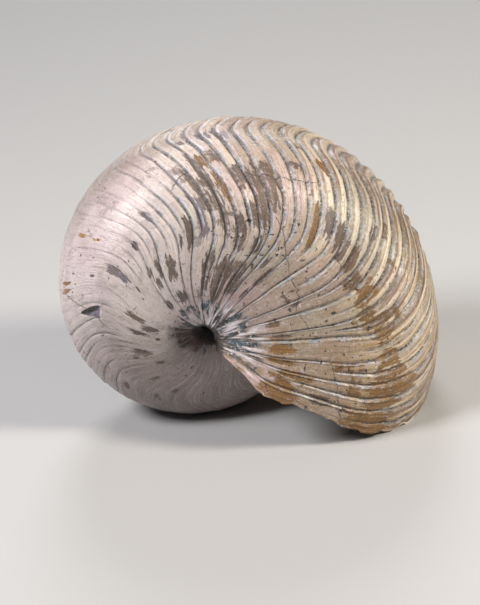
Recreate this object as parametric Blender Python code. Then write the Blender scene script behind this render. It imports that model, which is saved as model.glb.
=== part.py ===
"""Fossil nautilus: a ribbed, tightly coiled shell, filled with the sediment that it was buried in.

One solid, in metres, +Z up. The coiling axis lies along Y and the aperture faces +X and down, so the
shell stands on its older keel and on both flanks of its aperture. The origin is under the middle of its
bounding box, on the surface that it stands on.

The shell starts as a sphere. The sphere's poles become the two umbilici, its meridians become growth
lines, and its parallels run round the coil. Most meridians cover the last whorl; the few that are left
form the lip, the recessed filling of the aperture and the keel of the older whorl inside it.
"""

import math

import bmesh
import bpy
import numpy as np

# Coil: a logarithmic spiral, turned about the coiling axis until the shell rests level
LAST_RADIUS = 0.087         # coiling axis to the keel at the aperture
WHORL_GROWTH = 0.884        # natural logarithm of the growth in one turn
REST_TURN = math.radians(-18.2)
RIBS_PER_TURN = 74

# Half section of a whorl, in whorl radii: x from the coiling axis, z from the plane of symmetry
WIDEST_X = 0.366
HALF_WIDTH = 0.495
HALF_WIDTH_DRIFT = 0.045    # how much wider the section was one turn earlier
KEEL_POWER = 0.745
KEEL_POWER_DRIFT = 0.09
SHOULDER_POWER = 0.774
RIM_X = 0.042               # rim of the umbilicus
RIM_Z = 0.421
FLANK_POWER = 1.365
RIM_POWER = 1.515
SECTION_STEPS = 120

# Growth lines: how far each point of the girth runs ahead, in radians about the axis.
# Girth is 0 at the keel and 1 at the umbilical rim; age is 0 at the aperture and 1 a turn earlier.
LEAD_START = 0.074
LEAD_SLOPE = 1.058
LEAD_BEND = -1.184
LEAD_TWIST = 0.260
BAY_WIDTH = 0.095           # girth over which a growth line turns round its bay at the keel
BOW_DEPTH = 0.298           # older growth lines bow forward at mid flank
BOW_CENTRE = 0.497
BOW_WIDTH = 0.173
LAG_DEPTH = 0.280           # and fall back near the umbilicus

# Ribs: crest and groove stand half of this above and below the whorl, in whorl radii
RIB_HEIGHT = 0.0150
GROOVE_PHASE = 0.64         # share of a rib's pitch from its crest back to the groove behind it
WORN_RIB_SHARE = 0.35       # what is left of the ribs on the worn, older half
WEAR_AGE = 0.45
WEAR_BLEND = 0.12
RIB_FADE_GIRTH = 0.80       # the ribs fade out from here to the umbilical rim

# Aperture: the lip reaches further forward near the umbilicus than the growth lines do
LIP_REACH = 0.136           # radians about the axis
LIP_REACH_GIRTH = 0.824
LIP_REACH_WIDTH = 0.101
LIP_REACH_FADE = 0.25       # radians over which the growth lines behind it fall in with it

# Aperture: wall thickness and recess of the filling
LIP_SHARE = 0.965           # inner edge of the lip, as a share of the whorl's radius
RECESS_TURN = 0.055         # radians that the filling lies behind the lip
DISH_TURN = 0.03            # and what its middle is hollowed out further
RECESS_FADE_GIRTH = 0.72    # towards the umbilicus the filling comes level with the lip
RECESS_END_GIRTH = 0.94

# Umbilical pits: the last rings of the sphere sink below the rim
PIT_DEPTH = 0.10            # height of the pit's floor over the plane of symmetry, in last radii
PIT_WALL_X = 0.80
PIT_WALL_SINK = 0.55

# Mesh of the sphere
COLUMNS_PER_RIB = 2         # one meridian on the crest and one in the groove
FILLING_COLUMNS = 2
RINGS = 32
RIM_RING = 14               # rings from the keel to the umbilical rim
RING_SPREAD = 1.25          # packs the rings closer near the keel, where the growth lines turn

# Worn contact faces, cut level where the shell stands
CONTACT_WEAR = 0.0009

WHORL_COLUMNS = RIBS_PER_TURN * COLUMNS_PER_RIB + 1
INNER_COLUMN = WHORL_COLUMNS                  # older keel, inside the recess
LIP_BACK_COLUMN = INNER_COLUMN + FILLING_COLUMNS + 1
LIP_FRONT_COLUMN = LIP_BACK_COLUMN + 1
COLUMNS = LIP_FRONT_COLUMN + 1
FULL_TURN = 2.0 * math.pi


def smooth_step(low, high, value):
    """0 below low, 1 above high, and a smooth ramp between."""
    share = min(max((value - low) / (high - low), 0.0), 1.0)
    return share * share * (3.0 - 2.0 * share)


def section_point(age, girth):
    """Point of the half section at this share of its girth, keel to umbilical rim."""
    arc = np.linspace(0.0, math.pi / 2.0, SECTION_STEPS)
    half_width = HALF_WIDTH + HALF_WIDTH_DRIFT * age
    keel_power = KEEL_POWER + KEEL_POWER_DRIFT * age
    keel_x = WIDEST_X + (1.0 - WIDEST_X) * np.cos(arc) ** keel_power
    keel_z = half_width * np.sin(arc) ** SHOULDER_POWER
    flank_x = RIM_X + (WIDEST_X - RIM_X) * (1.0 - np.sin(arc) ** FLANK_POWER)
    flank_z = RIM_Z + (half_width - RIM_Z) * np.cos(arc) ** RIM_POWER
    x = np.concatenate([keel_x, flank_x[1:]])
    z = np.concatenate([keel_z, flank_z[1:]])
    along = np.concatenate([[0.0], np.cumsum(np.hypot(np.diff(x), np.diff(z)))])
    along /= along[-1]
    return float(np.interp(girth, along, x)), float(np.interp(girth, along, z))


def lead(age, girth):
    """How far ahead of its meridian a growth line runs, in radians about the coiling axis."""
    off_keel = math.hypot(girth, BAY_WIDTH) - BAY_WIDTH
    base = LEAD_START + off_keel * (LEAD_SLOPE + off_keel * (LEAD_BEND + off_keel * LEAD_TWIST))
    bow = BOW_DEPTH * math.exp(-((girth - BOW_CENTRE) / BOW_WIDTH) ** 2)
    lag = LAG_DEPTH * girth ** 4
    from_lip = FULL_TURN * min(abs(age), abs(age - 1.0))
    reach = LIP_REACH * math.exp(-((girth - LIP_REACH_GIRTH) / LIP_REACH_WIDTH) ** 2)
    return base + age * (bow - lag) + reach * math.exp(-from_lip / LIP_REACH_FADE)


def rib_height(age, girth):
    """Height from groove to crest, in whorl radii."""
    wear = smooth_step(WEAR_AGE - WEAR_BLEND, WEAR_AGE + WEAR_BLEND, age)
    fade = 1.0 - smooth_step(RIB_FADE_GIRTH, 1.0, girth)
    return RIB_HEIGHT * (1.0 - wear * (1.0 - WORN_RIB_SHARE)) * fade


def ring_girth(ring):
    """Share of the girth at a ring counted from the keel; past the rim the rings line the pit."""
    return min(ring / RIM_RING, 1.0) ** RING_SPREAD


def turn_to_rest(a, b, side_height):
    """From the coil's own plane to the resting shell's frame."""
    x = a * math.cos(REST_TURN) - b * math.sin(REST_TURN)
    z = a * math.sin(REST_TURN) + b * math.cos(REST_TURN)
    return x, -side_height, z


def shell_point(age, girth, scale, ring, side):
    """A point on the growth line of this age, with its distance from the axis scaled."""
    turn = -FULL_TURN * age + lead(age, girth)
    radius = LAST_RADIUS * math.exp(WHORL_GROWTH * turn / FULL_TURN) * scale
    x, z = section_point(age, girth)
    x *= radius
    z *= radius
    if ring > RIM_RING:
        sink = PIT_WALL_SINK * (ring - RIM_RING)
        x *= PIT_WALL_X
        z += (PIT_DEPTH * LAST_RADIUS - z) * sink
    return turn_to_rest(x * math.cos(turn), -x * math.sin(turn), side * z)


def growth_point(column, ring, side):
    """Where the sphere's vertex at this meridian and ring goes."""
    girth = ring_girth(ring)
    recess = 1.0 - smooth_step(RECESS_FADE_GIRTH, RECESS_END_GIRTH, girth)
    behind = RECESS_TURN * recess / FULL_TURN
    if column < WHORL_COLUMNS:
        rib, groove = divmod(column, COLUMNS_PER_RIB)
        age = (rib + groove * GROOVE_PHASE) / RIBS_PER_TURN
        half = 0.5 * rib_height(age, girth)
        return shell_point(age, girth, 1.0 - half if groove else 1.0 + half, ring, side)
    if column == INNER_COLUMN:
        return shell_point(1.0 + behind, girth, 1.0, ring, side)
    lip = 1.0 - (1.0 - LIP_SHARE) * recess
    if column == LIP_FRONT_COLUMN:
        return shell_point(0.0, girth, lip, ring, side)
    back = shell_point(behind, girth, lip, ring, side)
    if column == LIP_BACK_COLUMN:
        return back
    share = (column - INNER_COLUMN) / (FILLING_COLUMNS + 1)
    dish = DISH_TURN * recess * math.sin(math.pi * share) / FULL_TURN
    inner_scale = math.exp(-WHORL_GROWTH)
    scale = inner_scale + (lip - inner_scale) * share
    return shell_point(behind + dish, girth, scale, ring, side)


def build_shell_mesh():
    """Sphere whose vertices are moved onto the growth lines."""
    shell = bmesh.new()
    bmesh.ops.create_uvsphere(shell, u_segments=COLUMNS, v_segments=RINGS, radius=1.0)
    column_step = FULL_TURN / COLUMNS
    ring_step = math.pi / RINGS
    keel_ring = RINGS // 2
    for vertex in shell.verts:
        latitude = math.asin(min(max(vertex.co.z, -1.0), 1.0))
        ring = round(abs(latitude) / ring_step)
        side = 1.0 if latitude >= 0.0 else -1.0
        if ring == keel_ring:
            vertex.co = turn_to_rest(0.0, 0.0, side * PIT_DEPTH * LAST_RADIUS)
            continue
        column = round(math.atan2(vertex.co.y, vertex.co.x) / column_step) % COLUMNS
        vertex.co = growth_point(column, ring, side)
    bmesh.ops.recalc_face_normals(shell, faces=shell.faces)
    return shell


def set_on_ground(shell):
    """Lower the shell until its contact points are worn level, and centre it over the origin."""
    lowest = min(vertex.co.z for vertex in shell.verts)
    bmesh.ops.translate(shell, verts=shell.verts, vec=(0.0, 0.0, -lowest - CONTACT_WEAR))
    cut = bmesh.ops.bisect_plane(
        shell, geom=shell.verts[:] + shell.edges[:] + shell.faces[:], dist=1e-6,
        plane_co=(0.0, 0.0, 0.0), plane_no=(0.0, 0.0, 1.0), clear_inner=True,
    )
    rims = [item for item in cut["geom_cut"] if isinstance(item, bmesh.types.BMEdge)]
    bmesh.ops.holes_fill(shell, edges=rims, sides=0)
    low_x = min(vertex.co.x for vertex in shell.verts)
    high_x = max(vertex.co.x for vertex in shell.verts)
    bmesh.ops.translate(shell, verts=shell.verts, vec=(-(low_x + high_x) / 2.0, 0.0, 0.0))


def pearl_material():
    material = bpy.data.materials.new("pearly_shell")
    material.use_nodes = True
    shader = material.node_tree.nodes["Principled BSDF"]
    shader.inputs["Base Color"].default_value = (0.66, 0.60, 0.53, 1.0)
    shader.inputs["Roughness"].default_value = 0.42
    shader.inputs["Metallic"].default_value = 0.0
    return material


def clear_scene():
    for scene_object in list(bpy.data.objects):
        bpy.data.objects.remove(scene_object, do_unlink=True)


def main():
    clear_scene()
    collection = bpy.data.collections.new("fossil_nautilus")
    bpy.context.scene.collection.children.link(collection)
    shell = build_shell_mesh()
    set_on_ground(shell)
    mesh = bpy.data.meshes.new("nautilus_fossil")
    shell.to_mesh(mesh)
    shell.free()
    mesh.shade_smooth()
    mesh.set_sharp_from_angle(angle=math.radians(40.0))
    mesh.materials.append(pearl_material())
    collection.objects.link(bpy.data.objects.new("nautilus_fossil", mesh))


main()
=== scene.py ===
"""Fossil nautilus: the looks of the pearly shell, on a plain pale floor in soft studio light.

The shell is one natural piece. Its fine surface follows the same coil, section and growth lines as the
solid that it replaces, with every rib, groove, flaked plate and chip modelled on a closer grid.
Rib numbers count back from the aperture. Girth is 0 at the keel and 1 at the rim of the umbilicus.
"""

import math
import random
from types import SimpleNamespace

import bmesh
import bpy
import numpy as np
from mathutils import Matrix, Vector, noise


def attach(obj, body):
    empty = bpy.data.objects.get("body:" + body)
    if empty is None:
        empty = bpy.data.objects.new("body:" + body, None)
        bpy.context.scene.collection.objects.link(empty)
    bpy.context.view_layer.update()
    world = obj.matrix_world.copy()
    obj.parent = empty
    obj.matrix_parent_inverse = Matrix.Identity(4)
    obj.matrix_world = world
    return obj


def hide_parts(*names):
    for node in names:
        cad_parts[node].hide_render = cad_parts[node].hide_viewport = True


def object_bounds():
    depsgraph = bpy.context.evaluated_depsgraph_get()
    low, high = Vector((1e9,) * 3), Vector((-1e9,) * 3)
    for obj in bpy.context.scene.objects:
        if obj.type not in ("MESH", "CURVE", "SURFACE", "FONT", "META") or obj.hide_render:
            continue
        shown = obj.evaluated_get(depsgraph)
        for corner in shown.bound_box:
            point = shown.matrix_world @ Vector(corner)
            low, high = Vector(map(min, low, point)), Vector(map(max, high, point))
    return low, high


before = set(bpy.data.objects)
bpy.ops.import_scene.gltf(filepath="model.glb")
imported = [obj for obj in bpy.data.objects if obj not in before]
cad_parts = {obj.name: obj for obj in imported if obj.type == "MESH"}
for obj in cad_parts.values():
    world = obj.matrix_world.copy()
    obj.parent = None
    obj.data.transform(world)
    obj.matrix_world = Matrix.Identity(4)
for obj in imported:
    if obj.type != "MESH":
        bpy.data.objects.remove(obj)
cad_low, cad_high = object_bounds()

FULL_TURN = 2.0 * math.pi

# Coil, the same as the solid's
LAST_RADIUS = 0.087
WHORL_GROWTH = 0.884
REST_TURN = math.radians(-18.2)
RIBS_PER_TURN = 74
AXIS_X = -0.015247          # where the coiling axis stands over the floor
AXIS_Z = 0.042476

# Half section of a whorl, in whorl radii
WIDEST_X = 0.366
HALF_WIDTH = 0.495
HALF_WIDTH_DRIFT = 0.045
KEEL_POWER = 0.745
KEEL_POWER_DRIFT = 0.09
SHOULDER_POWER = 0.774
RIM_X = 0.042
RIM_Z = 0.421
FLANK_POWER = 1.365
RIM_POWER = 1.515
SECTION_STEPS = 240

# Growth lines, in radians ahead of their meridian
LEAD_START = 0.074
LEAD_SLOPE = 1.058
LEAD_BEND = -1.184
LEAD_TWIST = 0.260
BAY_WIDTH = 0.095
BOW_DEPTH = 0.298
BOW_CENTRE = 0.497
BOW_WIDTH = 0.173
LAG_DEPTH = 0.280
LIP_REACH = 0.136
LIP_REACH_GIRTH = 0.824
LIP_REACH_WIDTH = 0.101
LIP_REACH_FADE = 0.25

# Aperture: wall, recess and filling
LIP_SHARE = 0.965
RECESS_TURN = 0.055
DISH_TURN = 0.03
RECESS_FADE_GIRTH = 0.72
RECESS_END_GIRTH = 0.94

# Umbilical pit, in last radii and in powers of the way down
PIT_DEPTH = 0.10
PIT_NARROWING = 2.3
PIT_SINKING = 0.86

# Grid of the fine surface
FRESH_RIBS = 40             # ribs that get the closer columns
FRESH_STEPS = (0.0, 0.07, 0.16, 0.30, 0.46, 0.62, 0.74, 0.81, 0.87, 0.94)
WORN_STEPS = (0.0, 0.15, 0.45, 0.78, 0.90)
LIP_STEPS = 3
FILLING_STEPS = 14
HALF_RINGS = 84
RIM_RING = 76
RING_SPREAD = 1.25

# One rib from groove to groove: a broad plate, then a thin raised edge, then the next groove
GROOVE_SHIFT = 0.36         # a groove lies this far before each whole rib number
NEXT_GROOVE_SHARE = 0.36    # over this last share of a rib, the strength is the next groove's
RIB_HEIGHT = 0.0190         # groove to raised edge, in whorl radii
RIB_SHAPE = (
    (0.00, 0.00), (0.07, 0.34), (0.16, 0.68), (0.30, 0.84), (0.46, 0.86), (0.62, 0.80),
    (0.74, 0.76), (0.81, 1.00), (0.87, 0.92), (0.94, 0.26), (1.00, 0.00),
)
PLATE_LEVEL = 0.80          # what a rib flattens to where its groove dies out
PLATE_LIFT = 0.5            # how unevenly the plates stand
PLATE_EDGE = 0.2            # share of a rib over which a plate comes level at each groove
CROWNED_RIBS = (14.0, 20.0)     # ribs near the lip are rounded, and cease to be over these ribs
CROWNED_GIRTH = (0.38, 0.52)    # and over this part of the girth
CROWN_POWER = 0.8
WORN_LINE = 0.22            # strength of the grooves on the worn, older half
NEAR_STEPS = (42, 44, 45, 46, 47, 48, 50, 52)   # worn growth steps of the near flank that still stand out
WEAR_START_RIB = 22.0       # where wear sets in near the keel; on the flank it does so later
WEAR_FLANK_DELAY = 8.0
WEAR_LENGTH = 10.0
NEAR_STEP_STRENGTH = 0.85
LONG_GROOVE_END = (0.88, 1.0)   # girth where even grooves die out
SHORT_GROOVE_END = (0.48, 0.74) # and odd ones
WORN_GROOVE_END = (0.44, 0.66)  # and all of them where worn
FLANK = (0.26, 0.50)            # girth over which the keel's part goes over into the flank

# Unevenness of the growth lines and of the surface
SWAY_HOLD = 3.0             # ribs from either end over which growth lines come into their even place
SHIFTED_GIRTH = (0.42, 0.6)
STRAY = 0.34                # ribs
WAVER = 0.08                # ribs
LIP_NICKS = 0.55            # ribs
LIP_BAYS = 0.5              # ribs
LIP_FADE = 2.0              # ribs
SWELLS = ((34.0, 0.0040), (130.0, 0.0014))  # rolls of the surface: how fine, and how high
FILLING_ROUGHNESS = 0.0012  # turns
LIP_BULGE = 0.0012          # turns
LIP_ROUNDING = 0.75


def smooth_step(low, high, value):
    """0 below low, 1 above high, and a smooth ramp between."""
    share = np.clip((value - low) / (high - low), 0.0, 1.0)
    return share * share * (3.0 - 2.0 * share)


def half_section(age, girth):
    """Half section of the whorl at this age: distance from the axis and half width at each girth."""
    arc = np.linspace(0.0, math.pi / 2.0, SECTION_STEPS)
    half_width = HALF_WIDTH + HALF_WIDTH_DRIFT * age
    keel_power = KEEL_POWER + KEEL_POWER_DRIFT * age
    keel_x = WIDEST_X + (1.0 - WIDEST_X) * np.cos(arc) ** keel_power
    keel_z = half_width * np.sin(arc) ** SHOULDER_POWER
    flank_x = RIM_X + (WIDEST_X - RIM_X) * (1.0 - np.sin(arc) ** FLANK_POWER)
    flank_z = RIM_Z + (half_width - RIM_Z) * np.cos(arc) ** RIM_POWER
    x = np.concatenate([keel_x, flank_x[1:]])
    z = np.concatenate([keel_z, flank_z[1:]])
    along = np.concatenate([[0.0], np.cumsum(np.hypot(np.diff(x), np.diff(z)))])
    along /= along[-1]
    return np.interp(girth, along, x), np.interp(girth, along, z)


def lead(age, girth):
    """How far ahead of its meridian a growth line runs, in radians about the coiling axis."""
    off_keel = np.hypot(girth, BAY_WIDTH) - BAY_WIDTH
    base = LEAD_START + off_keel * (LEAD_SLOPE + off_keel * (LEAD_BEND + off_keel * LEAD_TWIST))
    bow = BOW_DEPTH * np.exp(-((girth - BOW_CENTRE) / BOW_WIDTH) ** 2)
    lag = LAG_DEPTH * girth ** 4
    from_lip = FULL_TURN * np.minimum(np.abs(age), np.abs(age - 1.0))
    reach = LIP_REACH * np.exp(-((girth - LIP_REACH_GIRTH) / LIP_REACH_WIDTH) ** 2)
    return base + age * (bow - lag) + reach * np.exp(-from_lip / LIP_REACH_FADE)


# Where the strong grooves of the near flank lie off their even places, in ribs
GROOVE_SHIFTS = (
    (0, 0.0), (4, 0.2), (6, -0.1), (8, 0.5), (10, 0.0), (12, 0.0), (14, -0.4), (16, 0.4), (18, 0.0),
    (20, 0.0), (22, -0.6), (24, -0.8), (26, -0.2), (28, 0.0), (30, -0.5), (32, 0.4), (36, 0.0), (75, 0.0),
)

# Plates that have flaked off the near flank: rib, half width in ribs, girth from and to, and tone.
# Tone -1 is lilac grey, 0 taupe, 1 ochre and 2 rust orange.
NEAR_FLAKES = (
    (20.4, 0.5, 0.23, 0.43, 0.2), (21.3, 0.5, 0.25, 0.50, 0.0), (22.0, 0.4, 0.40, 0.50, 0.2),
    (21.5, 0.6, 0.52, 0.60, -0.3), (24.6, 0.5, 0.18, 0.56, 0.1), (25.6, 0.4, 0.26, 0.46, -0.1),
    (26.5, 0.5, 0.36, 0.56, -1.0), (23.4, 0.5, 0.45, 0.60, -0.2), (23.6, 1.1, 0.63, 0.85, 0.3),
    (25.5, 0.6, 0.60, 0.80, 0.1), (21.4, 0.9, 0.67, 0.80, 0.2), (27.9, 0.4, 0.45, 0.60, 0.0),
    (29.1, 0.3, 0.52, 0.58, 0.0), (30.6, 0.5, 0.59, 0.70, 0.1), (32.0, 0.4, 0.58, 0.66, 0.1),
    (30.4, 0.8, 0.75, 0.82, 0.1), (32.8, 0.4, 0.64, 0.70, 0.0), (33.6, 0.8, 0.75, 0.81, 0.1),
    (21.4, 0.4, 0.02, 0.11, -0.5), (22.5, 0.5, 0.03, 0.10, -0.6), (24.1, 0.3, 0.07, 0.11, -0.3),
    (30.6, 0.4, 0.36, 0.42, -0.7), (33.6, 0.4, 0.45, 0.49, -0.2), (33.5, 0.4, 0.58, 0.63, 0.0),
    (23.7, 0.3, 0.28, 0.41, 0.9), (24.0, 0.3, 0.19, 0.26, 0.8), (19.8, 0.4, 0.22, 0.33, 0.3),
    (16.9, 0.3, 0.32, 0.50, 0.8), (15.9, 0.4, 0.30, 0.42, -0.4), (15.0, 0.3, 0.33, 0.45, 0.1),
    (13.4, 0.4, 0.36, 0.48, 0.4), (14.4, 0.3, 0.36, 0.46, 0.3), (12.2, 0.5, 0.42, 0.50, 0.5),
    (11.5, 0.3, 0.20, 0.26, 0.5), (12.6, 0.3, 0.24, 0.31, 0.3), (16.0, 0.3, 0.13, 0.19, 1.0),
    (10.7, 0.5, 0.39, 0.49, 1.0), (9.5, 0.5, 0.43, 0.50, 0.7), (8.6, 0.5, 0.38, 0.50, 0.8),
    (7.4, 0.3, 0.38, 0.47, 0.7), (5.6, 0.6, 0.38, 0.46, 1.1), (4.5, 0.5, 0.36, 0.47, 0.9),
    (3.4, 0.6, 0.31, 0.50, 1.0), (2.4, 0.5, 0.36, 0.50, 0.8), (1.3, 0.4, 0.38, 0.56, 0.9),
    (0.5, 0.5, 0.36, 0.55, 1.0), (0.9, 1.2, 0.70, 0.84, 0.9), (2.2, 0.8, 0.74, 0.82, 0.9),
    (1.6, 0.5, 0.60, 0.68, 0.3), (3.3, 0.5, 0.67, 0.80, 0.8), (5.0, 0.6, 0.73, 0.84, 0.9),
    (6.8, 0.6, 0.73, 0.82, 1.2), (8.5, 0.5, 0.73, 0.80, 0.4), (11.1, 0.5, 0.75, 0.80, 0.6),
    (13.0, 0.4, 0.64, 0.69, 0.0), (17.8, 0.4, 0.62, 0.72, 0.0), (18.2, 0.3, 0.73, 0.79, 0.0),
    (20.2, 0.4, 0.70, 0.78, 0.0), (19.0, 0.3, 0.58, 0.64, -0.2), (34.6, 0.14, 0.20, 0.25, 2.0),
    (34.7, 0.10, 0.30, 0.34, 2.0), (39.0, 0.3, 0.20, 0.27, 1.2), (39.8, 0.3, 0.20, 0.28, 1.3),
    (37.3, 0.5, 0.43, 0.57, -0.8), (41.0, 0.5, 0.60, 0.70, 0.0), (42.2, 0.7, 0.68, 0.77, 0.0),
    (43.8, 0.4, 0.62, 0.72, -0.1), (48.4, 0.8, 0.60, 0.69, -0.1), (49.5, 0.5, 0.58, 0.61, 0.0),
    (53.0, 0.4, 0.38, 0.43, 0.0), (46.1, 0.2, 0.46, 0.50, 0.0), (51.5, 0.5, 0.66, 0.71, 0.1),
    (55.0, 0.5, 0.55, 0.60, 0.1), (57.5, 0.5, 0.42, 0.47, 0.2), (59.5, 0.4, 0.52, 0.56, 0.0),
    (36.7, 0.2, 0.60, 0.63, 0.0), (38.5, 0.2, 0.38, 0.40, 0.0), (44.5, 0.5, 0.74, 0.77, 0.0),
)

# A three-cornered chip through the older shell, with painted shade on its deep side
CHIP_RIB = 42.7
CHIP_GIRTH = 0.425
CHIP_HALF_RIBS = 0.9
CHIP_HALF_GIRTH = 0.045
CHIP_DEPTH = 0.020

# Fine cracks of the near flank: from rib and girth to rib and girth
CRACKS = (
    (16.6, 0.250, 19.0, 0.280), (19.0, 0.280, 21.4, 0.292), (20.2, 0.440, 18.0, 0.545),
    (18.0, 0.545, 16.0, 0.600), (16.0, 0.600, 12.0, 0.680), (12.0, 0.680, 9.6, 0.668),
    (0.0, 0.540, 2.2, 0.585), (2.2, 0.585, 5.6, 0.620), (40.0, 0.240, 42.2, 0.395),
    (43.2, 0.440, 44.6, 0.500), (25.6, 0.270, 27.4, 0.330), (24.2, 0.812, 27.8, 0.806),
)
CRACK_HALF_GIRTH = 0.0011

FLAKE_DEPTH = 0.0042        # how deep a lost plate leaves the shell, in whorl radii
FAR_FLAKES = 64
FAR_SEED = 41


def far_flakes():
    """Flaked plates for the side that the photograph does not show, of the same kinds and spread."""
    chance = random.Random(FAR_SEED)
    flakes = []
    for _ in range(FAR_FLAKES):
        rib = chance.triangular(0.5, 60.0, 14.0)
        low = chance.choice((chance.uniform(0.2, 0.5), chance.uniform(0.5, 0.75)))
        long = chance.uniform(0.04, 0.2) if rib < 34.0 else chance.uniform(0.03, 0.08)
        tone = chance.uniform(0.4, 1.1) if rib < 14.0 else chance.uniform(-0.7, 0.3)
        flakes.append((rib, chance.uniform(0.3, 0.7), low, min(low + long, 0.85), tone))
    return flakes


def wander(across, along, seed):
    """Smooth noise from -1 to 1 over two numbers."""
    return noise.noise(Vector((across, along, seed * 17.3)))


def column_ages():
    """Rib number of each column of the whorl, from the aperture to one turn back."""
    ribs = [0.0]
    whole = 0
    while whole <= RIBS_PER_TURN + 1:
        steps = FRESH_STEPS if whole <= FRESH_RIBS else WORN_STEPS
        for step in steps:
            rib = whole + step - GROOVE_SHIFT
            if 0.03 < rib < RIBS_PER_TURN - 0.03:
                ribs.append(rib)
        whole += 1
    ribs.append(float(RIBS_PER_TURN))
    return ribs


WHORL_RIBS = column_ages()
WHORL_COLUMNS = len(WHORL_RIBS)
INNER_COLUMN = WHORL_COLUMNS
LIP_BACK_COLUMN = INNER_COLUMN + FILLING_STEPS + 1
COLUMNS = LIP_BACK_COLUMN + LIP_STEPS + 1
RINGS_OF_HALF = np.arange(HALF_RINGS + 1)
GIRTH = np.minimum(RINGS_OF_HALF / RIM_RING, 1.0) ** RING_SPREAD
PIT = np.maximum(RINGS_OF_HALF - RIM_RING, 0) / (HALF_RINGS - RIM_RING)


def girth_noise(across, fineness, side, seed):
    """Noise at each point along the girth of one side."""
    return np.array([wander(across, side * girth * fineness, seed) for girth in GIRTH])


def groove_strengths():
    """Strength along the girth of each groove, near and far side: odd ones die out at mid flank."""
    strengths = {}
    for side in (1, -1):
        chance = random.Random(7 + side)
        for groove in range(RIBS_PER_TURN + 3):
            end = chance.uniform(*(LONG_GROOVE_END if groove % 2 == 0 else SHORT_GROOVE_END))
            start = WEAR_START_RIB + WEAR_FLANK_DELAY * smooth_step(*FLANK, GIRTH)
            wear = smooth_step(start, start + WEAR_LENGTH, float(groove))
            end += float(wear[-1]) * (chance.uniform(*WORN_GROOVE_END) - end)
            full = 1.0 - wear * (1.0 - WORN_LINE)
            if side > 0 and groove in NEAR_STEPS:
                full = NEAR_STEP_STRENGTH
            patchy = girth_noise(groove * 1.7, 5.0, side, 1.0)
            patches = 1.0 - (0.18 + 0.5 * wear) * smooth_step(-0.15, 0.35, patchy)
            strengths[side, groove] = full * patches * (1.0 - smooth_step(end - 0.07, end + 0.05, GIRTH))
    return strengths


STRENGTHS = groove_strengths()
SHIFT_RIBS = [groove - GROOVE_SHIFT for groove, _ in GROOVE_SHIFTS]
SHIFTS = [shift for _, shift in GROOVE_SHIFTS]


def sway(rib, side):
    """How far, in ribs, this growth line strays from its even place along the girth."""
    shift = float(np.interp(rib, SHIFT_RIBS, SHIFTS)) if side > 0 else 0.0
    stray = girth_noise(rib * 0.55, 2.6, side, 3.0)
    waver = girth_noise(rib * 0.9, 11.0, side, 5.0)
    hold = min(rib, RIBS_PER_TURN - rib, SWAY_HOLD) / SWAY_HOLD
    return hold * (shift * smooth_step(*SHIFTED_GIRTH, GIRTH) + STRAY * stray + WAVER * waver)


def chipped_lip(rib, side):
    """How far, in ribs, the ragged edge of the lip falls back, fading over the first ribs."""
    nicks = np.array([wander(side * girth * 26.0, 1.3, 9.0) for girth in GIRTH])
    bays = np.array([wander(side * girth * 7.0, 4.1, 9.0) for girth in GIRTH])
    fade = max(0.0, 1.0 - rib / LIP_FADE) ** 2
    return fade * (LIP_NICKS * np.maximum(nicks, 0.0) + LIP_BAYS * np.maximum(bays, 0.0))


def flake_field(rib, flakes):
    """For one growth line: how far inside a flake each point lies, above 0 within, and its tone."""
    field = np.full(GIRTH.shape, -1.0)
    tone = np.zeros(GIRTH.shape)
    for flake_rib, half_ribs, low, high, flake_tone in flakes:
        across = abs(rib - flake_rib) / half_ribs
        if across > 2.0:
            continue
        along = np.abs(GIRTH - 0.5 * (low + high)) / (0.5 * (high - low))
        inside = 1.0 - (across ** 3 + along ** 3) ** (1.0 / 3.0)
        tone = np.where(inside > field, flake_tone, tone)
        field = np.maximum(field, inside)
    return field, tone


def chip_field(rib):
    """How far inside the three-cornered chip each point of this growth line lies."""
    across = (rib - CHIP_RIB) / CHIP_HALF_RIBS
    along = (GIRTH - CHIP_GIRTH) / CHIP_HALF_GIRTH
    corner = np.maximum(across * 0.9 - along * 0.5, -across * 0.9 - along * 0.2)
    return 1.0 - np.maximum(corner + 0.35, along)


def whorl_column(rib, side, flakes):
    """Fields and relief of one growth line of the whorl, from the keel to the pit's floor."""
    groove = math.floor(rib + GROOVE_SHIFT + NEXT_GROOVE_SHARE)
    phase = (rib + GROOVE_SHIFT) % 1.0
    line = STRENGTHS[side, groove]
    shape = float(np.interp(phase, [at for at, _ in RIB_SHAPE], [level for _, level in RIB_SHAPE]))
    crowned = (1.0 - smooth_step(*CROWNED_RIBS, rib)) * (1.0 - smooth_step(*CROWNED_GIRTH, GIRTH))
    shape = shape + (math.sin(math.pi * phase) ** CROWN_POWER - shape) * crowned
    level = PLATE_LEVEL + (shape - PLATE_LEVEL) * line
    plate = math.floor(rib + GROOVE_SHIFT)
    lift = PLATE_LIFT * wander(plate * 3.1, 0.5, 2.0) * (1.0 - smooth_step(0.6, 0.9, GIRTH))
    level = level + lift * min(phase, 1.0 - phase, PLATE_EDGE) * 2.5
    field, tone = flake_field(rib, flakes)
    on_plate = 1.0 - line * float(smooth_step(0.70, 0.80, phase))
    sunk = smooth_step(0.02, 0.2, field) * on_plate
    chip = chip_field(rib) if side > 0 else np.full(GIRTH.shape, -1.0)
    hollow = FLAKE_DEPTH * sunk + CHIP_DEPTH * smooth_step(0.0, 0.3, chip)
    scale = 1.0 + RIB_HEIGHT * (level - 0.5) - hollow
    age = (rib + sway(rib, side) + chipped_lip(rib, side)) / RIBS_PER_TURN
    fields = {"rib": np.full(GIRTH.shape, rib), "line": line, "flake": field, "tone": tone, "chip": chip}
    return age, scale, fields


def swell(point):
    """Uneven growth and wear: a low roll over the surface, as a share of the distance from the axis."""
    share = 1.0
    for fineness, height in SWELLS:
        share += height * noise.noise(Vector([part * fineness for part in point]))
    return share


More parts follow.
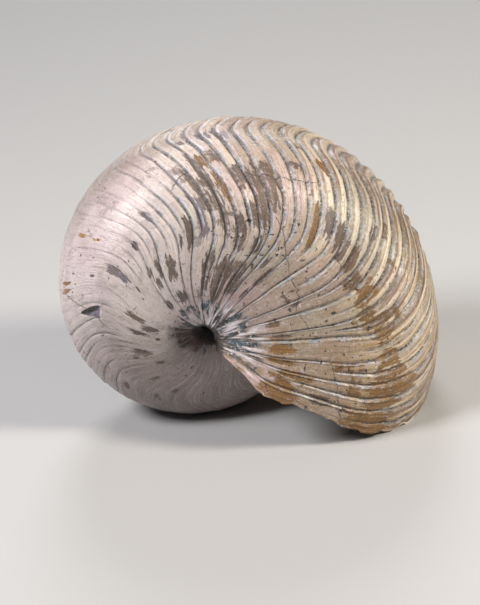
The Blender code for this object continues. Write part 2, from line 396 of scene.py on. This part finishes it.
def placed(age, scale, section_age, turn_lead, side):
    """Points of one column on the resting shell, with the rings past the rim lining the pit."""
    turn = -FULL_TURN * age + turn_lead
    radius = LAST_RADIUS * np.exp(WHORL_GROWTH * turn / FULL_TURN) * scale
    x, height = half_section(section_age, GIRTH)
    x = x * radius
    height = height * radius
    floor_height = PIT_DEPTH * LAST_RADIUS
    x = x * (1.0 - PIT ** PIT_NARROWING)
    height = height + (floor_height - height) * PIT ** PIT_SINKING
    a = x * np.cos(turn)
    b = -x * np.sin(turn)
    across = a * math.cos(REST_TURN) - b * math.sin(REST_TURN)
    up = a * math.sin(REST_TURN) + b * math.cos(REST_TURN)
    return np.stack([across, -side * height, up], axis=1)


def plain_fields():
    """Fields of a meridian that bears no ribs, flakes or chip."""
    none = np.zeros(GIRTH.shape)
    fields = {name: none.copy() for name in ("rib", "line", "tone", "chip")}
    fields["flake"] = np.full(GIRTH.shape, -1.0)
    return fields


def column_points(column, side, flakes):
    """Where the vertices of this meridian go, and the fields that its markings read."""
    recess = 1.0 - smooth_step(RECESS_FADE_GIRTH, RECESS_END_GIRTH, GIRTH)
    behind = RECESS_TURN * recess / FULL_TURN
    if column < WHORL_COLUMNS:
        rib = WHORL_RIBS[column]
        age, scale, fields = whorl_column(rib, side, flakes)
        return placed(age, scale, rib / RIBS_PER_TURN, lead(age, GIRTH), side), fields
    lip = 1.0 - (1.0 - LIP_SHARE) * recess
    plain = plain_fields()
    if column == INNER_COLUMN:
        age = 1.0 + behind
        plain["rib"] += RIBS_PER_TURN
        return placed(age, 1.0 + 0.0 * GIRTH, 1.0, lead(age, GIRTH), side), plain
    if column >= LIP_BACK_COLUMN:
        share = (column - LIP_BACK_COLUMN) / (LIP_STEPS + 1)
        edge_age = chipped_lip(0.0, side) / RIBS_PER_TURN
        bulge = LIP_BULGE * math.sin(math.pi * share)
        age = behind + (edge_age - behind) * share - bulge * recess
        scale = lip + (1.0 - lip) * LIP_ROUNDING * share ** 3
        return placed(age, scale, 0.0, lead(age, GIRTH), side), plain
    share = (column - INNER_COLUMN) / (FILLING_STEPS + 1)
    dish = DISH_TURN * recess * math.sin(math.pi * share) / FULL_TURN
    age = behind + dish
    inner_scale = math.exp(-WHORL_GROWTH)
    scale = inner_scale + (lip - inner_scale) * share
    inner_hold = (1.0 - share) ** 4
    turn_lead = lead(age, GIRTH) + inner_hold * (lead(1.0 + behind, GIRTH) - lead(behind, GIRTH))
    rough = girth_noise(share * 9.0, 16.0, side, 31.0)
    age = age + FILLING_ROUGHNESS * recess * rough * math.sin(math.pi * share)
    plain["filling"] = np.minimum(recess * 1.5, 1.0)
    return placed(age, scale, inner_hold, turn_lead, side), plain


FIELD_NAMES = ("rib", "girth", "side", "line", "flake", "tone", "chip", "filling")
AXIS = Vector((AXIS_X, 0.0, AXIS_Z))
MAP_FLOOR = 0.02            # strip of the map that is kept for the contact faces


def shape_shell():
    """A sphere whose meridians are laid on the growth lines, worn level where the shell stands."""
    shell = bmesh.new()
    shell.loops.layers.uv.new("OFBake")
    layers = {name: shell.verts.layers.float.new(name) for name in FIELD_NAMES}
    bmesh.ops.create_uvsphere(
        shell, u_segments=COLUMNS, v_segments=2 * HALF_RINGS, radius=1.0, calc_uvs=True,
    )
    flakes = {1: NEAR_FLAKES, -1: far_flakes()}
    grid = {}
    for side in (1, -1):
        for column in range(COLUMNS):
            grid[side, column] = column_points(column, side, flakes[side])
    column_step = FULL_TURN / COLUMNS
    ring_step = math.pi / (2 * HALF_RINGS)
    for vertex in shell.verts:
        latitude = math.asin(min(max(vertex.co.z, -1.0), 1.0))
        ring = round(abs(latitude) / ring_step)
        side = 1 if latitude >= -0.5 * ring_step else -1
        column = round(math.atan2(vertex.co.y, vertex.co.x) / column_step) % COLUMNS
        points, fields = grid[side, column]
        if ring == 0:
            across = points[0]
        else:
            across = points[ring] * swell(points[ring])
        vertex.co = AXIS + Vector(across)
        for name, values in fields.items():
            vertex[layers[name]] = float(values[ring])
        vertex[layers["girth"]] = float(GIRTH[ring] + PIT[ring])
        vertex[layers["side"]] = float(side)
    stand_level(shell)
    return shell


def stand_level(shell):
    """Cut the contact faces level with the floor and close them."""
    cut = bmesh.ops.bisect_plane(
        shell, geom=shell.verts[:] + shell.edges[:] + shell.faces[:], dist=1e-6,
        plane_co=(0.0, 0.0, 0.0), plane_no=(0.0, 0.0, 1.0), clear_inner=True,
    )
    rims = [item for item in cut["geom_cut"] if isinstance(item, bmesh.types.BMEdge)]
    worn = bmesh.ops.holes_fill(shell, edges=rims, sides=0)["faces"]
    for edge in rims:
        edge.smooth = False
    bmesh.ops.recalc_face_normals(shell, faces=shell.faces)
    bake_map = shell.loops.layers.uv["OFBake"]
    flat_faces = set(worn)
    width = cad_high.x - cad_low.x
    depth = cad_high.y - cad_low.y
    for face in shell.faces:
        for corner in face.loops:
            spot = corner[bake_map]
            if face in flat_faces:
                across = (corner.vert.co.x - cad_low.x) / width
                spot.uv = (across, MAP_FLOOR * 0.9 * (corner.vert.co.y - cad_low.y) / depth)
            else:
                spot.uv = (spot.uv.x, MAP_FLOOR + (1.0 - MAP_FLOOR) * spot.uv.y)


def make_shell(material):
    """The shell as one piece at the origin, in place of the solid."""
    shell = shape_shell()
    mesh = bpy.data.meshes.new("nautilus_shell")
    shell.to_mesh(mesh)
    shell.free()
    for polygon in mesh.polygons:
        polygon.use_smooth = True
    mesh.materials.append(material)
    piece = bpy.data.objects.new("nautilus_shell", mesh)
    bpy.context.scene.collection.objects.link(piece)
    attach(piece, "root")
    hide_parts("nautilus_fossil")
    return piece


class Signal:
    """One socket of a material's tree. Python arithmetic on it adds Math nodes."""

    def __init__(self, tree, socket=None):
        self.tree = tree
        self.socket = socket

    def node(self, kind, settings=None, inputs=None, output=0):
        """Adds a node of this type: settings first, then the value or link of each input."""
        made = self.tree.nodes.new(kind)
        for name, value in (settings or {}).items():
            setattr(made, name, value)
        for name, value in (inputs or {}).items():
            if isinstance(value, Signal):
                self.tree.links.new(value.socket, made.inputs[name])
            else:
                made.inputs[name].default_value = value
        return Signal(self.tree, made.outputs[output])

    def maths(self, operation, *values):
        return self.node("ShaderNodeMath", {"operation": operation}, dict(enumerate(values)))

    def __add__(self, other):
        return self.maths("ADD", self, other)

    def __sub__(self, other):
        return self.maths("SUBTRACT", self, other)

    def __mul__(self, other):
        return self.maths("MULTIPLY", self, other)

    def __radd__(self, other):
        return self.maths("ADD", other, self)

    def __rsub__(self, other):
        return self.maths("SUBTRACT", other, self)

    def __rmul__(self, other):
        return self.maths("MULTIPLY", other, self)

    def __abs__(self):
        return self.maths("ABSOLUTE", self)

    def whole(self):
        return self.maths("FLOOR", self)

    def fraction(self):
        return self.maths("FRACT", self)

    def at_least(self, other):
        return self.maths("MAXIMUM", self, other)

    def at_most(self, other):
        return self.maths("MINIMUM", self, other)

    def rise(self, low, high):
        """0 below low and 1 above high; with low above high it falls instead."""
        inputs = {"Value": self, "From Min": low, "From Max": high}
        return self.node("ShaderNodeMapRange", {"interpolation_type": "SMOOTHSTEP"}, inputs)

    def band(self, centre, half_width, softness):
        """1 within half_width of the centre, falling to 0 over the softness."""
        return abs(self - centre).rise(half_width + softness, half_width)


def paint(red, green, blue):
    """A colour given as on a screen, 0 to 255, in the renderer's own light values."""
    shares = [part / 255.0 for part in (red, green, blue)]
    return tuple(s / 12.92 if s <= 0.04045 else ((s + 0.055) / 1.055) ** 2.4 for s in shares) + (1.0,)


def blend(first, second, share):
    """Colour that goes from the first to the second as the share goes from 0 to 1."""
    settings = {"data_type": "RGBA", "clamp_factor": True}
    return share.node("ShaderNodeMix", settings, {0: share, 6: first, 7: second}, output=2)


def vertex_field(tree, name):
    """A number kept at the vertices of the shell."""
    return Signal(tree).node("ShaderNodeAttribute", {"attribute_name": name}, output=2)


def vector(x, y, z):
    """A vector put together from three numbers."""
    return x.node("ShaderNodeCombineXYZ", inputs={"X": x, "Y": y, "Z": z})


def grain(where, scale, detail, roughness):
    """Noise about 0.5 at these coordinates."""
    inputs = {"Vector": where, "Scale": scale, "Detail": detail, "Roughness": roughness}
    return where.node("ShaderNodeTexNoise", inputs=inputs)


def growth_grain(mark, ribs, girths, layer, detail, roughness):
    """Noise laid along the growth lines, with its own fineness across ribs and along the girth."""
    return grain(vector(mark.rib * ribs, mark.span * girths, layer), 1.0, detail, roughness)


def random_share(number, seed):
    """A random number from 0 to 1 for each whole number."""
    settings = {"noise_dimensions": "2D"}
    return number.node("ShaderNodeTexWhiteNoise", settings, {"Vector": vector(number, seed, 0.0)})


# Finish of the shell, as on screen
PEARL = paint(228, 215, 211)
LILAC_CREAM = paint(190, 172, 165)
# painted shade for the older half
PAINTED_SHADE_PEARL = paint(112, 97, 91)
PEARL_SHADE = paint(186, 172, 169)
CREAM = paint(188, 168, 142)
# pale cream of some plates, also a painted highlight on the rib crests
PALE_CREAM_AND_HIGHLIGHT = paint(250, 236, 216)
YELLOW_CREAM = paint(164, 120, 40)
BEIGE = paint(158, 140, 128)
SHADE_BEIGE = paint(126, 104, 84)
LILAC_WHITE = paint(228, 220, 228)
SEA_GREY = paint(112, 118, 116)
BLUE_GREY = paint(84, 94, 106)
GROOVE_BROWN = paint(66, 49, 35)
TAUPE = paint(90, 73, 63)
LILAC_GREY = paint(116, 106, 120)
OCHRE = paint(130, 88, 12)
RUST = paint(210, 146, 40)
RUST_BROWN = paint(128, 74, 36)
TEAL = paint(72, 96, 108)
# brown stain beside the umbilicus, with painted shade
STAIN_AND_SHADE_BROWN = paint(66, 44, 32)
# dark brown of bare patches, also painted shade in the pit
DARK_BROWN_AND_PIT_SHADE = paint(44, 30, 22)
PAINTED_SHADE_BLACK = paint(12, 9, 8)
# painted shade in the pit and on the chip's deep side
CRACK_BROWN = paint(58, 42, 30)
SPECK = paint(44, 36, 32)
SEDIMENT = paint(112, 98, 86)
SEDIMENT_PALE = paint(144, 130, 116)
NACRE_PINK = paint(230, 192, 206)
NACRE_GREEN = paint(184, 202, 178)
NACRE_BLUE = paint(172, 190, 226)

# Gloss and fine relief
SPECULAR = 0.75
ROUGHNESS = 0.36
COAT = 0.16
COAT_ROUGHNESS = 0.28
BUMP_STRENGTH = 0.8
BUMP_DISTANCE = 0.0007      # metres


def read_marks(tree):
    """The fields kept at the shell's vertices, and the places on it that they give."""
    mark = SimpleNamespace()
    for name in FIELD_NAMES:
        setattr(mark, name, vertex_field(tree, name))
    mark.everywhere = Signal(tree).node("ShaderNodeTexCoord", output=3)
    mark.span = mark.girth * mark.side
    mark.phase = (mark.rib + GROOVE_SHIFT).fraction()
    mark.plate = (mark.rib + GROOVE_SHIFT).whole()
    mark.older = mark.rib.rise(21.0, 33.0)
    mark.rounded = mark.girth.rise(0.50, 0.36) * mark.rib.rise(20.0, 14.0)
    mark.low_flank = mark.girth.rise(0.46, 0.58) * mark.rib.rise(27.0, 20.0)
    mark.quiet = 1.0 - mark.low_flank * 0.65 - mark.older * 0.55
    return mark


def add_noises(mark):
    """Noises along the growth lines, and others of several sizes all through the shell."""
    mark.threads = growth_grain(mark, 6.0, 6.0, 0.0, 4.0, 0.62)
    mark.fibres = growth_grain(mark, 19.0, 16.0, 3.0, 3.0, 0.65)
    mark.breaks = growth_grain(mark, 1.3, 22.0, 7.0, 3.0, 0.6)
    mark.ragged = growth_grain(mark, 4.2, 18.0, 9.0, 5.0, 0.68) - 0.5
    mark.wobble = (growth_grain(mark, 3.0, 46.0, 5.0, 4.0, 0.62) - 0.5) * 0.24
    mark.spokes = grain(vector(mark.rib * 0.75 + mark.wobble * 5.0, mark.span * 9.0, 13.0), 1.0, 2.0, 0.5)
    mark.faint = grain(vector(mark.rib * 4.0 + mark.wobble * 3.0, mark.span * 5.0, 17.0), 1.0, 2.0, 0.5)
    mark.clouds = grain(mark.everywhere, 34.0, 3.0, 0.5)
    mark.mottle = grain(mark.everywhere, 150.0, 4.0, 0.6)
    mark.clumps = grain(mark.everywhere, 330.0, 3.0, 0.6)
    mark.pores = grain(mark.everywhere, 560.0, 2.0, 0.5)
    mark.sand = grain(mark.everywhere, 700.0, 3.0, 0.6)
    mark.grit = grain(mark.everywhere, 1500.0, 2.0, 0.6)


def add_rib_lines(mark):
    """Groove, raised edge, crest and fine line of each rib, broken up and faded where worn."""
    from_groove = mark.phase.at_most(1.0 - mark.phase)
    groove = (from_groove + mark.wobble).rise(0.15, 0.03) * mark.line.rise(0.0, 0.8)
    groove = groove * (0.2 + 1.5 * mark.breaks).at_most(1.0)
    mark.groove = groove * (1.1 - 0.9 * mark.clumps.rise(0.52, 0.40))
    bold = mark.rib.band(26.0, 6.0, 4.0)
    crest_line = (mark.phase + mark.wobble * 0.8 + bold * 0.03).band(0.83, 0.03, 0.09)
    wide_line = (mark.phase + mark.wobble * 0.8).band(0.80, 0.08, 0.10) * bold
    edge = crest_line.at_least(wide_line) * mark.line.rise(0.05, 0.9)
    edge = edge * (1.0 - mark.rounded * 0.6) * mark.breaks.rise(0.34, 0.56) * (1.0 - mark.older * 0.25)
    mark.edge = edge * (0.15 + 0.95 * mark.clumps.rise(0.42, 0.56))
    mark.crest = (mark.phase + mark.wobble * 0.5).band(0.34, 0.14, 0.18)
    fine_line = (mark.phase + mark.wobble * 0.7).band(0.62, 0.0, 0.055)
    mark.fine_line = fine_line * mark.rounded * mark.breaks.rise(0.35, 0.55)


def add_losses(mark):
    """Lost plates with ragged edges, both placed and random ones, then pores, cracks and the chip."""
    plate_chance = grain(vector(mark.plate * 9.7, mark.span * 8.0, 11.0), 1.0, 3.0, 0.6)
    upper_zone = mark.rib.band(24.0, 6.0, 5.0) * mark.girth.rise(0.08, 0.2)
    middle_zone = mark.girth.band(0.45, 0.07, 0.1) * mark.rib.rise(20.0, 14.0)
    zone = upper_zone.at_least(middle_zone) * mark.girth.rise(0.9, 0.8)
    random_flake = (plate_chance + zone * 0.055 + mark.ragged * 0.30).rise(0.655, 0.663)
    ragged_flake = mark.flake + mark.ragged * (2.2 + mark.older * 1.6) - mark.older * 0.06
    mark.placed_flake = ragged_flake.rise(0.0, 0.06)
    flaked = mark.placed_flake.at_least(random_flake * (1.0 - mark.older * 0.8))
    mark.flaked = flaked * (1.0 - mark.edge * 0.9) * (1.0 - mark.groove * 0.5)
    pitted = mark.girth.band(0.62, 0.17, 0.10) * mark.rib.rise(30.0, 22.0)
    pitted = pitted.at_least(mark.older * 0.35)
    mark.dots = (mark.pores + pitted * 0.08).rise(0.735, 0.755)
    mark.crack = cracks(mark.rib, mark.girth, mark.side)
    mark.chipped = (mark.chip + mark.wobble * 0.6).rise(0.0, 0.08)


def add_umbilicus(mark):
    """Pale collar round the umbilicus, the brown stain and painted shade on its older side, and how deep
    the pit goes.
    """
    mark.collar = (mark.girth + mark.clumps * 0.08).rise(0.82, 0.92) * (1.0 - mark.older * 0.75)
    stained = (mark.girth + mark.clumps * 0.16).rise(0.86, 0.98)
    mark.stained = stained * mark.rib.band(49.0, 7.0, 7.0)
    wider = mark.rib.rise(48.0, 70.0) * 0.085
    narrower = mark.rib.rise(48.0, 30.0) * 0.045
    mark.deep = mark.girth + wider - narrower + mark.clumps * 0.04
    mark.dull = mark.deep.rise(0.92, 0.96).at_least(mark.stained)


def plates(mark):
    """Cream plates on the ribbed half, golden near the lip, and pearl on the older half, with painted
    highlights and painted shade.
    """
    cream = blend(CREAM, LILAC_CREAM, mark.rib.rise(13.0, 25.0))
    # painted highlight: pale cream on the crests of the rounded ribs
    cream = blend(cream, PALE_CREAM_AND_HIGHLIGHT, mark.crest * mark.rounded)
    cream = blend(cream, BEIGE, mark.low_flank * 0.8)
    golden = mark.rib.rise(17.0, 3.0) * (0.35 + 0.65 * mark.girth.rise(0.60, 0.44))
    cream = blend(cream, YELLOW_CREAM, golden * (mark.threads * 4.4 - 1.6))
    shaded = mark.phase.band(0.72, 0.10, 0.14) * mark.rounded * mark.threads.rise(0.30, 0.55)
    cream = blend(cream, SHADE_BEIGE, shaded)
    cream = blend(cream, GROOVE_BROWN, mark.fine_line * 0.75)
    pearl = blend(PEARL, PEARL_SHADE, (mark.mottle - 0.44) * 2.6)
    # painted shade: the pearl darkens over ribs 38 to 54 of the older half
    pearl = blend(pearl, PAINTED_SHADE_PEARL, mark.rib.rise(38.0, 54.0) * 0.8)
    ground = blend(cream, pearl, mark.older)
    tint = 0.5 + (random_share(mark.plate, 3.0) - 0.5) * (1.0 - mark.older * 0.8)
    ground = blend(ground, PALE_CREAM_AND_HIGHLIGHT, (tint - 0.55) * 0.8 * (1.0 - mark.low_flank))
    ground = blend(ground, BEIGE, (0.45 - tint) * 1.2)
    ground = blend(ground, NACRE_PINK, (mark.clouds - 0.5) * 1.2 * mark.rib.rise(4.0, 16.0))
    return blend(ground, NACRE_GREEN, (0.47 - mark.clouds) * 1.6 * (1.0 - mark.older))


def weathered(mark, ground):
    """Painted shade near the keel, faint growth lines on the older half, and grain over all of it."""
    # painted shade: plates near the keel, around ribs 12 to 32, made darker
    keel_shade = mark.girth.rise(0.24, 0.04) * mark.rib.band(22.0, 10.0, 8.0)
    ground = blend(ground, SHADE_BEIGE, keel_shade * 0.42)
    hair = mark.faint.rise(0.585, 0.60) * mark.faint.rise(0.63, 0.61) * mark.older
    ground = blend(ground, TAUPE, hair * mark.breaks.rise(0.44, 0.58) * 0.55)
    ground = blend(ground, LILAC_WHITE, mark.faint.rise(0.44, 0.38) * mark.older * 0.2)
    ground = blend(ground, GROOVE_BROWN, mark.threads.rise(0.56, 0.70) * 0.62 * mark.quiet)
    ground = blend(ground, LILAC_WHITE, mark.threads.rise(0.43, 0.30) * 0.6 * mark.quiet)
    ground = blend(ground, SHADE_BEIGE, mark.fibres.rise(0.55, 0.72) * 0.6 * (1.0 - mark.older * 0.6))
    ground = blend(ground, SHADE_BEIGE, mark.sand.rise(0.54, 0.70) * (0.5 - mark.older * 0.25))
    return blend(ground, LILAC_WHITE, mark.sand.rise(0.44, 0.30) * (0.4 - mark.older * 0.2))


def edged(mark, ground):
    """Nacre on the raised edges, a painted grey shadow strip behind them, and painted shade in the grooves.
    """
    nacre = blend(LILAC_WHITE, NACRE_BLUE, (mark.sand - 0.46) * 6.0)
    nacre = blend(nacre, BLUE_GREY, mark.grit.rise(0.56, 0.72) * 0.6)
    nacre = blend(nacre, NACRE_PINK, (mark.clouds - 0.5) * 4.0)
    nacre = blend(nacre, NACRE_GREEN, (mark.mottle - 0.52) * 6.0)
    nacre = blend(nacre, TEAL, (mark.clumps - 0.56) * 5.0)
    ground = blend(ground, nacre, mark.edge * 0.9)
    # painted shadow: a grey strip on the older side of each raised edge
    strip = (mark.phase + mark.wobble).band(0.96, 0.06, 0.12) * mark.line.rise(0.1, 0.7)
    strip = strip * mark.breaks.rise(0.36, 0.56)
    ground = blend(ground, SEA_GREY, strip * (0.65 - mark.older * 0.55))
    # painted shade in the grooves, blue-grey to brown
    shadow = blend(BLUE_GREY, GROOVE_BROWN, (mark.fibres - 0.44) * 7.0 + mark.rounded * 0.5)
    shadow = blend(shadow, TAUPE, mark.rib.rise(32.0, 40.0) * 0.8)
    shadow = blend(shadow, LILAC_WHITE, mark.grit.rise(0.52, 0.36) * 0.45)
    return blend(ground, shadow, mark.groove * (0.95 - mark.older * 0.4 - mark.low_flank * 0.25))


def laid_bare(mark, ground):
    """Taupe, lilac grey, ochre or rust where plates are lost, with pale rims, and rusty streaks."""
    stain = mark.tone.at_least(mark.rib.rise(15.0, 11.0) * 0.85 * (1.0 - mark.placed_flake))
    bare = blend(TAUPE, OCHRE, stain.rise(0.15, 0.95))
    bare = blend(bare, LILAC_GREY, mark.tone.rise(-0.1, -0.8))
    bare = blend(bare, RUST, mark.tone.rise(1.1, 1.9))
    bare = blend(bare, DARK_BROWN_AND_PIT_SHADE, (mark.threads - 0.47) * 3.0)
    bare = blend(bare, YELLOW_CREAM, mark.fibres.rise(0.44, 0.30) * stain.rise(0.5, 1.0) * 0.6)
    bare = blend(bare, SHADE_BEIGE, (0.50 - mark.mottle) * 3.0 * (1.0 - stain * 0.7))
    bare = blend(bare, LILAC_WHITE, mark.sand.rise(0.40, 0.26) * 0.3)
    ground = blend(ground, bare, mark.flaked * 0.92)
    rim = mark.placed_flake.band(0.45, 0.25, 0.15) * (0.4 + 0.6 * mark.clumps.rise(0.42, 0.55))
    ground = blend(ground, LILAC_WHITE, rim * 0.7)
    rusty = (mark.fibres + mark.clouds * 0.3).rise(0.76, 0.80) * mark.rib.band(19.0, 6.0, 3.0)
    return blend(ground, RUST_BROWN, rusty * mark.girth.band(0.27, 0.12, 0.08) * 0.7)


def speckled(mark, ground):
    """Dark pores, specks, pale grains and cracks."""
    ground = blend(ground, SPECK, mark.dots * 0.92)
    ground = blend(ground, SPECK, mark.grit.rise(0.62, 0.74) * (0.6 - mark.older * 0.35))
    ground = blend(ground, LILAC_WHITE, mark.grit.rise(0.38, 0.30) * (0.4 - mark.older * 0.2))
    return blend(ground, CRACK_BROWN, mark.crack * 0.75)


def round_umbilicus(mark, ground):
    """Pale spokes with dark gaps round the umbilicus, the stain and painted shade beside it, and painted
    shade in the pit.
    """
    ground = blend(ground, LILAC_WHITE, mark.collar * (mark.spokes - 0.50) * 8.0)
    pink = mark.collar * mark.rib.rise(8.0, 2.0) * (mark.clumps - 0.46) * 3.0
    ground = blend(ground, NACRE_PINK, pink)
    dark_gap = blend(DARK_BROWN_AND_PIT_SHADE, TEAL, (mark.clumps - 0.44) * 7.0)
    dark_gap = blend(dark_gap, LILAC_WHITE, (mark.sand - 0.54) * 6.0)
    gaps = (mark.girth + mark.clumps * 0.12).rise(0.885, 0.94) * (0.54 - mark.spokes)
    ground = blend(ground, dark_gap, gaps * mark.rib.rise(0.5, 4.0) * 12.0)
    # brown stain with painted shade in the hollow on the umbilicus's older side
    ground = blend(ground, STAIN_AND_SHADE_BROWN, mark.stained * 0.85)
    # painted shade in the pit: dark brown, then black farther in
    ground = blend(ground, DARK_BROWN_AND_PIT_SHADE, mark.deep.rise(0.940, 0.960) * 0.9)
    return blend(ground, PAINTED_SHADE_BLACK, mark.deep.rise(0.962, 0.980))


def chipped_and_filled(mark, ground):
    """The chip, with painted shade along its deep side, and the sediment in the aperture."""
    ground = blend(ground, LILAC_GREY, mark.chipped * 0.9)
    # painted shade along the chip's deep side
    painted_shade_side = (mark.rib + mark.girth * 14.0).rise(49.0, 48.5)
    ground = blend(ground, PAINTED_SHADE_BLACK, mark.chipped * painted_shade_side * 0.9)
    sediment = blend(SEDIMENT, SEDIMENT_PALE, (mark.mottle - 0.4) * 3.0)
    sediment = blend(sediment, SPECK, mark.sand.rise(0.54, 0.68) * 0.6)
    return blend(ground, sediment, mark.filling.rise(0.3, 0.7))


def fine_relief(mark):
    """Bumps too small for the mesh."""
    height = (
        (mark.threads - 0.5) * 0.9 * mark.quiet + (mark.fibres - 0.5) * 0.4 + (mark.mottle - 0.5) * 0.4
        + (mark.sand - 0.5) * 0.30 + (mark.grit - 0.5) * 0.08 - mark.flaked * 0.34
        - mark.crack * 0.7 - mark.dots * 0.6 + mark.edge * 0.12
        + (mark.faint - 0.5) * mark.older * 0.2 + (mark.spokes - 0.5) * mark.collar * 2.4
        - mark.fine_line * 0.3
    )
    inputs = {"Strength": BUMP_STRENGTH, "Distance": BUMP_DISTANCE, "Height": height}
    return mark.rib.node("ShaderNodeBump", inputs=inputs)


def gloss(mark):
    """Roughness: pearl and raised edges are smoother, and bare patches, filling and pit rougher."""
    rough = ROUGHNESS + mark.flaked * 0.16 + mark.filling * 0.4 - mark.edge * 0.10
    rough = rough - mark.older * 0.05 + (mark.sand - 0.5) * 0.4
    return rough - mark.rounded * mark.crest * 0.08 + mark.dull * 0.4


def shell_finish():
    """Cream and pearl plates, nacre edges, painted blue-grey shade in the grooves, and flaked patches with
    ochre stains.
    """
    material = bpy.data.materials.new("pearly_shell")
    material.use_nodes = True
    tree = material.node_tree
    shader = tree.nodes["Principled BSDF"]
    mark = read_marks(tree)
    for add_marks in (add_noises, add_rib_lines, add_losses, add_umbilicus):
        add_marks(mark)
    ground = plates(mark)
    for layer in (weathered, edged, laid_bare, speckled, round_umbilicus, chipped_and_filled):
        ground = layer(mark, ground)
    linked = {
        "Base Color": ground,
        "Roughness": gloss(mark),
        "Coat Weight": COAT - mark.dull * COAT,
        "Normal": fine_relief(mark),
    }
    for name, signal in linked.items():
        tree.links.new(signal.socket, shader.inputs[name])
    shader.inputs["Specular IOR Level"].default_value = SPECULAR
    shader.inputs["Coat Roughness"].default_value = COAT_ROUGHNESS
    return material


def cracks(rib, girth, side):
    """Hairlines of the near flank, each straight piece wandering about its own course."""
    jag = (grain(vector(rib * 1.6, girth * 40.0, 1.0), 1.0, 4.0, 0.7) - 0.5) * 0.030
    found = rib * 0.0
    for first_rib, first_girth, last_rib, last_girth in CRACKS:
        slope = (last_girth - first_girth) / (last_rib - first_rib)
        off = girth + jag - first_girth - (rib - first_rib) * slope
        middle = 0.5 * (first_rib + last_rib)
        half_length = 0.5 * abs(last_rib - first_rib)
        within = rib.band(middle, half_length, 0.12)
        hair = CRACK_HALF_GIRTH * (1.0 + 0.5 * abs(slope) / 0.02)
        found = found.at_least(abs(off).rise(hair * 1.5, hair * 0.5) * within)
    return found * side.rise(0.0, 0.5)


# Camera, at the photograph's viewing angle, in metres and degrees
AIM = Vector((-0.00349, 0.0, 0.03990))
CAMERA_DISTANCE = 0.7547
CAMERA_ELEVATION = 26.594
CAMERA_AZIMUTH = -2.216
CAMERA_ROLL = -5.852
SENSOR = 36.0
PHOTO_HEIGHT = 605          # pixels
FOCAL_PIXELS = 2024.36


def set_camera():
    """The photograph's camera: its direction, distance, roll and focal length."""
    elevation = math.radians(CAMERA_ELEVATION)
    azimuth = math.radians(CAMERA_AZIMUTH)
    roll = math.radians(CAMERA_ROLL)
    look = Vector((math.sin(azimuth) * math.cos(elevation), math.cos(azimuth) * math.cos(elevation),
                   -math.sin(elevation)))
    level_right = look.cross(Vector((0.0, 0.0, 1.0))).normalized()
    level_up = level_right.cross(look)
    right = level_right * math.cos(roll) + level_up * math.sin(roll)
    up = right.cross(look)
    data = bpy.data.cameras.new("camera")
    data.sensor_width = SENSOR
    data.lens = FOCAL_PIXELS * SENSOR / PHOTO_HEIGHT
    data.clip_start = 0.05
    data.clip_end = 50.0
    camera = bpy.data.objects.new("camera", data)
    turn = Matrix((right, up, -look)).transposed()
    camera.matrix_world = Matrix.Translation(AIM - look * CAMERA_DISTANCE) @ turn.to_4x4()
    bpy.context.scene.collection.objects.link(camera)
    bpy.context.scene.camera = camera


def add_light(name, spot, aim, size, watts, colour):
    """A round area light at a spot, turned to its aim."""
    data = bpy.data.lights.new(name, "AREA")
    data.shape = "DISK"
    data.size = size
    data.energy = watts
    data.color = colour
    lamp = bpy.data.objects.new(name, data)
    lamp.location = spot
    lamp.rotation_euler = (Vector(aim) - Vector(spot)).to_track_quat("-Z", "Y").to_euler()
    bpy.context.scene.collection.objects.link(lamp)


def set_studio():
    """Soft light from upper left, a smaller one from the right, a wash on the floor and a pale surround."""
    add_light("key_light", (-0.52, -0.23, 0.67), (-0.03, 0.0, 0.07), 0.30, 6.9, (1.0, 0.975, 0.97))
    add_light("right_light", (0.62, -0.25, 0.58), (0.03, 0.0, 0.06), 0.18, 7.4, (1.0, 0.93, 0.80))
    add_light("floor_wash", (0.0, 1.9, 1.5), (0.0, 1.1, 0.0), 0.9, 26.0, (1.0, 0.99, 0.98))
    world = bpy.data.worlds.new("pale_surround")
    world.use_nodes = True
    surround = world.node_tree.nodes["Background"]
    surround.inputs["Color"].default_value = (0.86, 0.89, 0.95, 1.0)
    surround.inputs["Strength"].default_value = 0.03
    bpy.context.scene.world = world
    bpy.context.scene.view_settings.view_transform = "Standard"


def lay_floor():
    """A wide, plain, pale floor, as the stage."""
    floor = bmesh.new()
    bmesh.ops.create_grid(floor, x_segments=2, y_segments=2, size=4.0)
    mesh = bpy.data.meshes.new("studio_floor")
    floor.to_mesh(mesh)
    floor.free()
    material = bpy.data.materials.new("pale_floor")
    material.use_nodes = True
    shader = material.node_tree.nodes["Principled BSDF"]
    shader.inputs["Base Color"].default_value = (0.46, 0.46, 0.47, 1.0)
    shader.inputs["Roughness"].default_value = 0.7
    mesh.materials.append(material)
    piece = bpy.data.objects.new("studio_floor", mesh)
    bpy.context.scene.collection.objects.link(piece)


set_camera()
set_studio()
lay_floor()
make_shell(shell_finish())
